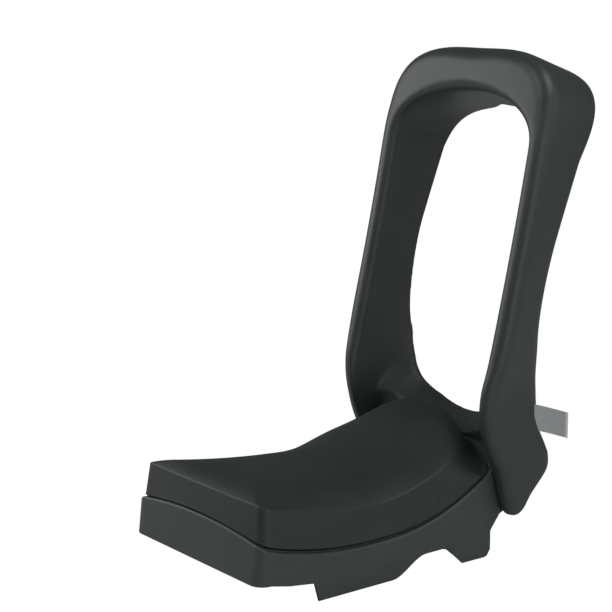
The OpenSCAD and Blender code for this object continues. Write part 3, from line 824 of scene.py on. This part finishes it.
# Hoop
@dataclass
class BackHoop:
    """One-piece foam hoop: two lobes, leaning legs, top bar and the web behind the cushion.

    A leg station is its height, the place of its front, its depth, how far its outer face stands in,
    the cant of that face and the tilt of the depth.
    """

    half: float = 119.0
    leg_width: float = 22.0
    top: float = 485.0
    bar_height: float = 44.0
    turn_height: float = 391.0
    turn_depth: float = 67.0
    bar_depth: float = 63.0
    lean: float = 11.5
    rear: float = 174.0
    lobe_inner: float = 95.4
    outer_power: float = 3.3
    inner_power: float = 2.1
    rear_power: float = 2.9
    swell: float = 20.0
    tilts: Pair = (15.0, 20.0)
    lead: float = 1.5
    skew: float = 16.0
    skew_loss: float = 0.57
    toe: float = 9.0
    legs: tuple[tuple[float, ...], ...] = (
        (36.5, -4.0, 6.5, 13.0, 0.0, 0.0),
        (38.0, -6.5, 11.5, 10.5, 0.0, 0.0),
        (43.5, -11.5, 22.3, 8.5, 0.0, 0.0),
        (55.0, -15.5, 33.2, 7.5, 0.0, 0.0),
        (66.0, -18.5, 46.5, 7.0, 0.0, 0.0),
        (77.0, -22.0, 59.6, 6.5, 0.0, 0.0),
        (86.0, -25.0, 65.2, 6.5, 0.0, 0.0),
        (98.0, -31.5, 69.6, 8.0, -1.5, 0.0),
        (110.0, -36.5, 70.0, 9.0, -2.0, 0.0),
        (120.0, -39.5, 68.0, 9.5, -1.0, 0.0),
        (135.0, -42.8, 69.3, 9.0, 2.5, 0.0),
        (150.0, -43.8, 70.3, 7.5, 6.5, 0.0),
        (166.0, -42.3, 66.9, 5.5, 9.0, 0.0),
        (186.0, -36.6, 60.0, 2.0, 11.5, 0.0),
        (216.0, -29.0, 52.5, 0.0, 12.0, 1.0),
        (252.0, -20.3, 50.7, 0.0, 12.0, 3.0),
        (296.0, -10.1, 53.1, 0.0, 12.0, 6.5),
        (342.0, 0.0, 59.1, 0.0, 12.0, 10.5),
    )
    inner_change: Pair = (125.0, 60.0)
    skew_start: Pair = (98.0, 55.0)
    skew_fade: Pair = (190.0, 120.0)
    toe_start: Pair = (98.0, 30.0)
    toe_end: Pair = (205.0, 50.0)
    radii: tuple[float, ...] = (14.0, 8.0, 7.0, 8.0)
    lobe_radii: tuple[float, ...] = (10.0, 8.0, 3.0, 3.0)
    radii_change: Pair = (115.0, 70.0)
    bar_radii: float = 1.5
    web_reach: float = 101.0
    web_span: float = 92.0
    web_foot: float = 52.0
    web_depth: float = 37.0
    web_top: float = 117.5
    web_rise: float = 39.0
    web_flick: float = 42.0
    web_limit: float = 172.0
    lip_width: float = 12.0
    lip_slope: float = 0.3
    shelf_slope: float = 0.5
    shelf_lead: float = 27.0
    shelf_end: float = 108.0
    web_gap: float = 0.4
    web_edge: float = 12.0
    web_radii: tuple[float, ...] = (2.0, 8.0, 9.0, 4.0, 6.0, 3.0, 2.0)
    rear_tuck: float = 9.0
    voxel: float = 1.5
    rounds: int = 16
    blend_steps: int = 8
    blend_rounds: int = 16
    blend_reach: float = 46.0
    junction: Triple = (88.0, 24.0, 136.0)

    @staticmethod
    def section(
        outer: Vector, inner: Vector, depth: float, tilt: float, cant: float, skew: float, toe: float
    ) -> Ring:
        """Corners of one section: front outer, rear outer, rear inner, front inner.

        Args:
            outer: front outer corner.
            inner: front inner corner.
            depth: depth of the outer face.
            tilt: downward tilt of the depth in degrees.
            cant: how far the rear outer edge stands in.
            skew: extra depth of the inner face.
            toe: how far the rear inner edge turns in.

        Returns:
            The four corners.
        """
        down = radians(tilt)
        back = Vector((0.0, cos(down), -sin(down)))
        side = Vector((1.0, 0.0, 0.0))
        return [
            outer,
            outer + back * depth - side * cant,
            inner + back * (depth + skew) - side * (cant * 0.5 + toe),
            inner,
        ]

    def skew_at(self, z: float) -> float:
        """Extra depth of a leg's inner face."""
        return self.skew * rise(z, *self.skew_start) * (1 - self.skew_loss * rise(z, *self.skew_fade))

    def lean_at(self, z: float) -> float:
        """Front face of the upper hoop."""
        height, front = self.legs[-1][:2]
        return self.rear + front + (z - height) * tan(radians(self.lean))

    def leg(self, row: Sequence[float]) -> Ring:
        """Section of one leg station."""
        z, front, depth, inset, cant, tilt = row
        y = self.rear + front
        inside = mix(self.lobe_inner, self.half - self.leg_width, rise(z, *self.inner_change))
        toe = self.toe * rise(z, *self.toe_start) * fall(z, *self.toe_end)
        outer, inner = Vector((self.half - inset, y, z)), Vector((inside, y - self.lead, z))
        return self.section(outer, inner, depth, tilt, cant, self.skew_at(z), toe)

    @staticmethod
    def polar(angle: float, wide: float, high: float, power: float) -> Pair:
        """Point of a superellipse in the direction of an angle."""
        c, s = cos(angle), sin(angle)
        r = ((c / wide) ** power + (s / high) ** power) ** (-1 / power)
        return r * c, r * s

    def turn(self, share: float) -> Ring:
        """Section of the upper hoop, from the leg to the middle of the bar."""
        a = radians(90 * share) * 0.99999
        ox, oz = self.polar(a, self.half, self.top - self.turn_height, self.outer_power)
        window = self.half - self.leg_width, self.top - self.bar_height - self.turn_height
        ix, iz = self.polar(a, *window, self.inner_power)
        rx, rz = self.polar(a, *window, self.rear_power)
        if share == 1.0:
            ox = ix = rx = 0.0
        lift = Vector((rx - ix, 0.0, rz - iz))
        oz, iz = oz + self.turn_height, iz + self.turn_height
        swell = self.swell * sin(2 * a) * (1 - share**3)
        corners = self.section(
            Vector((ox, self.lean_at(oz), oz)),
            Vector((ix, self.lean_at(iz) - self.lead, iz)),
            mix(self.turn_depth, self.bar_depth, share**2) + swell,
            mix(*self.tilts, ease(share)),
            self.legs[-1][4] * (1 - ease(share)),
            self.skew_at(self.turn_height) * (1 - share),
            0.0,
        )
        corners[2] += lift
        return corners

    @staticmethod
    def rounded(corners: Ring, radii: Sequence[float], steps: int = 9) -> Ring:
        """Rounds a section's corners with nearly circular arcs.

        Args:
            corners: the corners, in order.
            radii: how far each arc reaches from its corner.
            steps: number of steps in an arc.

        Returns:
            The points of all arcs, in order.
        """
        weight, limit = 0.75, 0.46
        points = []
        for k, corner in enumerate(corners):
            ends = []
            for other in (corners[k - 1], corners[(k + 1) % len(corners)]):
                reach = min(radii[k] / (other - corner).length, limit)
                ends.append(mix(corner, other, reach))
            for i in range(steps + 1):
                s = i / steps
                pull = 2 * weight * s * (1 - s)
                whole = (1 - s) ** 2 + pull + s**2
                points.append((ends[0] * (1 - s) ** 2 + corner * pull + ends[1] * s**2) / whole)
        return points

    def stations(self) -> list[Ring]:
        """All rings from the right lobe's tip over the bar to the left lobe's tip."""
        right = []
        for row in self.rows():
            share = rise(row[0], *self.radii_change)
            radii = [mix(a, b, share) for a, b in zip(self.lobe_radii, self.radii)]
            right.append(self.rounded(self.leg(row), radii))
        for i in range(25):
            grow = mix(1.0, self.bar_radii, i / 24)
            right.append(self.rounded(self.turn(i / 24), [r * grow for r in self.radii]))
        return right + [[Vector((-p.x, p.y, p.z)) for p in ring] for ring in right[-2::-1]]

    def rows(self, steps: int = 4) -> list[list[float]]:
        """Leg stations with smooth curves run through them.

        Args:
            steps: number of steps between two stations.

        Returns:
            The stations and those between them.
        """
        rows = (self.legs[0], *self.legs, self.legs[-1])
        made = []
        for before, start, end, after in zip(rows, rows[1:], rows[2:], rows[3:]):
            span = end[0] - start[0]
            for t in (k / steps for k in range(steps)):
                row = [mix(start[0], end[0], t)]
                for j in range(1, len(start)):
                    leave = (end[j] - before[j]) / (end[0] - before[0]) * span
                    arrive = (after[j] - start[j]) / (after[0] - start[0]) * span
                    row.append(
                        (2 * t**3 - 3 * t**2 + 1) * start[j] + (t**3 - 2 * t**2 + t) * leave
                        + (3 * t**2 - 2 * t**3) * end[j] + (t**3 - t**2) * arrive
                    )
                made.append(row)
        return made + [list(rows[-1])]

    def web_ring(self, x: float) -> Ring:
        """Section of the web: a shelf that rises backward to the free upper edge."""
        share = min(1.0, abs(x) / self.web_span)
        top = self.web_top + self.web_rise * share**2 + self.web_flick * share**10
        top = min(self.web_limit, top)
        out = abs(x) / self.web_reach
        front = self.rear + self.web_gap
        rear = front + self.web_depth - self.rear_tuck * out**6
        lip = front + 1.5 - self.shelf_lead * out**4
        shelf = mix(top - (rear - lip) * self.shelf_slope, self.shelf_end, out**4)
        corners = [
            (front, self.web_foot),
            (mix(front, rear, 0.45), self.web_foot),
            (rear, top - self.web_edge),
            (rear - 2, top),
            (rear - self.lip_width, top - self.lip_width * self.lip_slope),
            (lip, shelf),
            (front - (front - lip) * 0.6, shelf - 5),
        ]
        return self.rounded([Vector((x, y, z)) for y, z in corners], self.web_radii)

    def build(self) -> Object:
        """Lofts loop and web, grows them into one skin and eases it."""
        bm = bmesh.new()
        add_loft(bm, self.stations())
        turns = [mix(-90, 90, i / 48) for i in range(49)]
        places = [self.web_reach * mix(sin(radians(a)), a / 90, 0.4) for a in turns]
        add_loft(bm, [self.web_ring(x) for x in places])
        piece = as_piece(bm, "foam_hoop", 180.0)
        skin = piece.modifiers.new("skin", "REMESH")
        skin.mode = "VOXEL"
        skin.voxel_size = self.voxel * MM
        flatten(piece)
        bm = bmesh.new()
        bm.from_mesh(piece.data)
        self.relax(bm.verts[:], bm, self.rounds)
        away = {v: self.from_junction(v.co) for v in bm.verts}
        near = [v for v in bm.verts if away[v] < self.blend_reach]
        for i in range(self.blend_steps):
            self.relax(near, bm, self.blend_rounds)
            reach = mix(self.blend_reach, self.blend_reach * 0.4, (i + 1) / self.blend_steps)
            near = [v for v in near if away[v] < reach]
        for face in bm.faces:
            face.smooth = True
        bm.to_mesh(piece.data)
        bm.free()
        return piece

    def from_junction(self, point: Vector) -> float:
        """Distance of a point from the fold where a leg passes into the web."""
        x, y, z = self.junction
        place = Vector((abs(point.x), point.y, point.z)) / MM
        return (place - Vector((x, self.rear + y, z))).length

    @staticmethod
    def relax(verts: list[BMVert], bm: BMesh, rounds: int) -> None:
        """Smooths some vertices a number of times."""
        for _ in range(rounds):
            bmesh.ops.smooth_vert(
                bm, verts=verts, factor=0.5, use_axis_x=True, use_axis_y=True, use_axis_z=True
            )

    def dress(self, piece: Object) -> None:
        """Gives the hoop its finish."""
        finish = MouldedSkin("foam_hoop", (0.035, 0.043, 0.041), roughness=0.42, grain=1300.0)
        settle(piece, finish.make(), "foam_hoop", "back_hoop")


# Tag
@dataclass
class LabelTag:
    """Short folded loop of woven ribbon sewn into the side of the hoop."""

    root: Triple = (108.0, 198.5, 118.0)
    turn: float = 23.0
    droop: float = 0.27
    height: float = 25.0
    length: float = 28.5
    sunk: float = 4.5
    bend: float = 60.0
    gap: float = 0.5
    thick: float = 0.35
    tooth: float = 0.35
    tooth_run: float = 3.0

    def build(self) -> Object:
        """Folds the ribbon, bends it and gives it its thickness."""
        bm = bmesh.new()
        steps = 30
        half, last = self.gap / 2, self.length - 1
        line = [(half, mix(-self.sunk, last, i / steps)) for i in range(steps + 1)]
        turns = [pi * i / 6 for i in range(1, 6)]
        fold = [(half * cos(a), last + self.gap * sin(a)) for a in turns]
        path = line + fold + [(-x, y) for x, y in reversed(line)]
        rows = 32
        first = bmesh.ops.create_grid(bm, x_segments=len(path) - 1, y_segments=rows, size=0.5)["verts"]
        for vert in first:
            at = path[round((vert.co.x + 0.5) * (len(path) - 1))]
            z = (vert.co.y + 0.5) * self.height
            tooth = self.tooth if round((vert.co.y + 0.5) * rows) % 2 else 0.0
            bent = at[1] ** 2 / (2 * self.bend) if at[1] > 0 else 0.0
            end = clamp01((at[1] - self.length + self.tooth_run) / self.tooth_run)
            vert.co = Vector((at[0] + bent, at[1] - tooth * end, z - self.droop * at[1])) * MM
        bmesh.ops.solidify(bm, geom=bm.faces[:], thickness=self.thick * MM)
        turned = Matrix.Rotation(radians(-self.turn), 3, "Z")
        bmesh.ops.rotate(bm, verts=bm.verts[:], cent=(0, 0, 0), matrix=turned)
        bmesh.ops.translate(bm, verts=bm.verts[:], vec=Vector(self.root) * MM)
        return as_piece(bm, "ribbon_tag", 60.0)

    def dress(self, piece: Object) -> None:
        """Gives the ribbon its weave."""
        finish = WovenRibbon("woven_tag", (0.76, 0.79, 0.79))
        settle(piece, finish.make(), "woven_tag", "label_tag")
        flat = (2 * (self.length + self.sunk) * MM, self.height * MM)


# Fixings
class Plating(Enum):
    """Finishes of the fixings: name, colour, roughness and metallic share."""

    BAR = ("bar_steel", (0.05, 0.05, 0.055), 0.5, 0.0)
    ZINC = ("zinc_steel", (0.55, 0.57, 0.58), 0.32, 1.0)
    BRASS = ("insert_brass", (0.55, 0.42, 0.2), 0.3, 1.0)
    RUBBER = ("pad_rubber", (0.02, 0.02, 0.02), 0.75, 0.0)
    NYLON = ("stud_plastic", (0.02, 0.02, 0.021), 0.5, 0.0)


@dataclass
class Fixings:
    """Carrier clamp, screws, inserts and studs, kept from the CAD with rounded edges."""

    finishes: tuple[tuple[str, Plating], ...] = (
        ("clamp_bar", Plating.BAR),
        ("clamp_", Plating.ZINC),
        ("carrier_pad", Plating.RUBBER),
        ("hoop_screw", Plating.ZINC),
        ("hoop_insert", Plating.BRASS),
        ("cushion_stud", Plating.NYLON),
    )
    edge: float = 0.25
    sharp: float = 35.0

    def dress(self) -> None:
        """Gives each kept node its finish and a fine bevel."""
        made: dict[str, Material] = {}
        for name, node in sorted(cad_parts.items()):
            kind = next((f for start, f in self.finishes if name.startswith(start)), None)
            if kind is None:
                continue
            slot, colour, rough, metal = kind.value
            if slot not in made:
                made[slot] = PlatedMetal(slot, colour, rough, metal).make()
            node.data.materials.clear()
            node.data.materials.append(made[slot])
            bevel = node.modifiers.new("edge", "BEVEL")
            bevel.width = self.edge * MM
            bevel.segments = 2
            bevel.limit_method = "ANGLE"
            bevel.angle_limit = radians(self.sharp)
            LOG.info("%s: kept, slot %s", name, slot)


# Studio
@dataclass
class Studio:
    """Camera, soft lights, white surroundings and the floor."""

    aim: Triple = (0.0, 0.0, 0.24605)
    azimuth: float = 53.1
    elevation: float = 10.63
    distance: float = 1.615
    lens: float = 102.06
    film: float = 36.0
    ambient: float = 0.11
    sky: tuple[float, ...] = (0.94, 0.97, 1.0, 1.0)
    ground: tuple[float, ...] = (0.8, 0.8, 0.8, 1.0)
    floor_radius: float = 6.0
    floor_glow: float = 1.08
    floor_share: float = 0.93
    lights: tuple[tuple, ...] = (
        ("key", (-1.05, -0.58, 0.66), (0.0, 0.2, 0.42), 0.8, 5.6),
        ("front", (-0.2, -0.85, 1.3), (0.0, 0.25, 0.35), 0.7, 3.8),
        ("side", (1.5, -0.1, 0.5), (0.0, 0.05, 0.2), 1.2, 4.5),
        ("camera_side", (1.2, -1.0, 0.8), (0.0, 0.0, 0.2), 1.0, 1.2),
        ("rim", (1.0, 1.0, 0.7), (0.0, 0.1, 0.3), 0.9, 1.6),
        ("high", (0.7, 0.4, 1.5), (0.0, 0.1, 0.2), 0.7, 6.0),
    )

    def camera(self) -> None:
        """Places the camera that the photograph was taken with."""
        a, e = radians(self.azimuth), radians(self.elevation)
        back = Vector((sin(a) * cos(e), -cos(a) * cos(e), sin(e)))
        data = bpy.data.cameras.new("camera")
        data.lens = self.lens
        data.sensor_width = self.film
        eye = linked("camera", data)
        eye.location = Vector(self.aim) + back * self.distance
        eye.rotation_euler = (-back).to_track_quat("-Z", "Y").to_euler()
        bpy.context.scene.camera = eye

    def softbox(self, name: str, place: Triple, aim: Triple, size: float, watts: float) -> None:
        """Adds a square area light.

        Args:
            name: the light's name.
            place: its centre, in metres.
            aim: the point that it faces.
            size: length of its sides.
            watts: its power.
        """
        data = bpy.data.lights.new(name, "AREA")
        data.size = size
        data.energy = watts
        lamp = linked(name, data)
        lamp.location = place
        lamp.rotation_euler = (Vector(aim) - Vector(place)).to_track_quat("-Z", "Y").to_euler()

    def surroundings(self) -> None:
        """Makes the world white to the camera and dimmer as a light."""
        world = bpy.context.scene.world = bpy.data.worlds.new("studio")
        graph = Graph(world)
        white, glow = (
            graph.node("ShaderNodeBackground", {"Color": colour, "Strength": strength})
            for colour, strength in ((WHITE, 1.0), (self.sky, self.ambient))
        )
        graph.end(graph.seen(glow, white), "ShaderNodeOutputWorld")

    def floor(self) -> None:
        """Lays the pale floor, white to the camera except for the faint shadow."""
        bm = bmesh.new()
        bmesh.ops.create_circle(bm, cap_ends=True, segments=96, radius=self.floor_radius)
        ground = as_piece(bm, "floor")
        graph = Graph(bpy.data.materials.new("floor"))
        matt = graph.node("ShaderNodeBsdfDiffuse", {"Color": self.ground})
        glow = graph.node("ShaderNodeEmission", {"Color": WHITE, "Strength": self.floor_glow})
        ground.data.materials.append(graph.end(graph.seen(matt, glow, self.floor_share)))

    def build(self) -> None:
        """Sets up the whole studio."""
        self.camera()
        self.surroundings()
        self.floor()
        for light in self.lights:
            self.softbox(*light)
        bpy.context.scene.view_settings.view_transform = "Standard"


def main() -> None:
    """Builds and dresses every piece, then sets up the studio."""
    logging.basicConfig(level=logging.INFO, format="%(name)s %(message)s")
    Studio().build()
    seam = SeamSurface()
    for assembly in (BaseShell(seam), Cushion(seam), BackHoop(), LabelTag()):
        assembly.dress(assembly.build())
    Fixings().dress()


if __name__ == "__main__":
    main()
